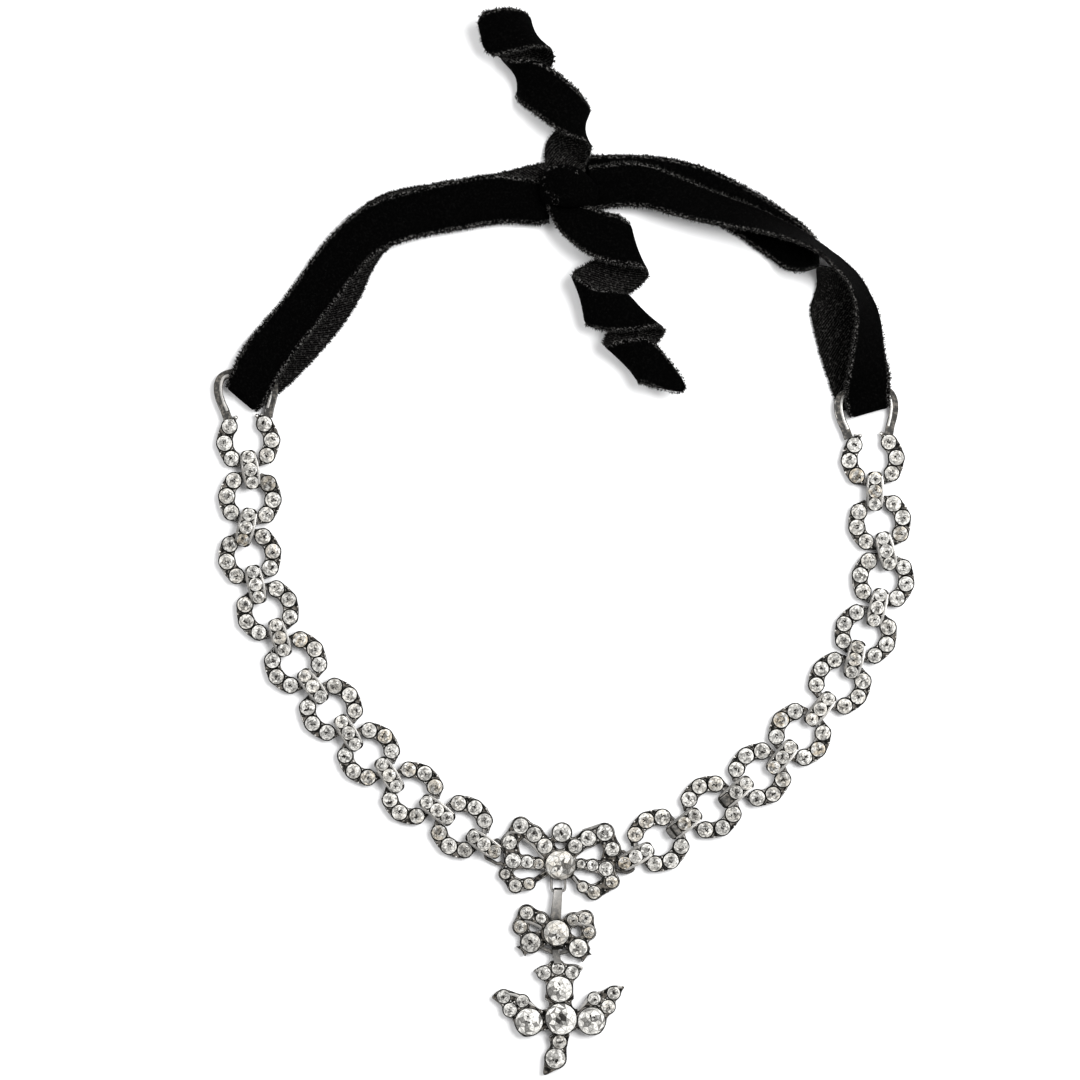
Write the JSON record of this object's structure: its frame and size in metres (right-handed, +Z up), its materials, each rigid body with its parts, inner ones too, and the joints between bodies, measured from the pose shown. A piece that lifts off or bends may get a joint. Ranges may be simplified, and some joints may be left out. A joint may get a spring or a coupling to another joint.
{
  "type": "rhinestone necklace",
  "caption": "Antique rhinestone necklace on a black velvet ribbon: open ring and bar links, a bow, a small drop and a dove, lying flat.",
  "frame": {"origin": "middle of the outline seen from above, on the plane that the necklace lies on", "axes": "+Y towards the knot and the upper tail, +Z up from the plane, towards the stones' tables"},
  "size_m": [0.14, 0.2128, 0.0113],
  "materials": {
    "metal": "oxidised silver, worn bright on its edges",
    "paste": "cut and polished, closed back",
    "velvet": "velvet pile on one side, woven on the other"
  },
  "bodies": {
    "root": {"ring_link_l1": "metal", "ring_link_l2": "metal", "ring_link_l3": "metal", "ring_link_l4": "metal", "ring_link_l5": "metal", "ring_link_l6": "metal", "ring_link_l7": "metal", "ring_link_l8": "metal", "ring_link_l9": "metal", "ring_link_r1": "metal", "ring_link_r2": "metal", "ring_link_r3": "metal", "ring_link_r4": "metal", "ring_link_r5": "metal", "ring_link_r6": "metal", "ring_link_r7": "metal", "ring_link_r8": "metal", "ring_link_r9": "metal", "bar_link_l1": "metal", "bar_link_l2": "metal", "bar_link_l3": "metal", "bar_link_l4": "metal", "bar_link_l5": "metal", "bar_link_l6": "metal", "bar_link_l7": "metal", "bar_link_l8": "metal", "bar_link_l9": "metal", "bar_link_r1": "metal", "bar_link_r2": "metal", "bar_link_r3": "metal", "bar_link_r4": "metal", "bar_link_r5": "metal", "bar_link_r6": "metal", "bar_link_r7": "metal", "bar_link_r8": "metal", "bar_link_r9": "metal", "center_bow": "metal", "bow_drop": "metal", "dove_pendant": "metal", "ring_stones_left": "paste", "ring_stones_right": "paste", "bar_stones_left": "paste", "bar_stones_right": "paste", "bow_stones": "paste", "drop_stones": "paste", "dove_stones": "paste", "bow_center_stone": "paste", "drop_center_stone": "paste", "dove_breast_stone": "paste", "dove_tail_stone": "paste", "dove_wing_stone_left": "paste", "dove_wing_stone_right": "paste", "ribbon_left": "velvet", "ribbon_right": "velvet", "ribbon_knot": "velvet", "ribbon_tail_upper": "velvet", "ribbon_tail_lower": "velvet"}
  },
  "joints": []
}
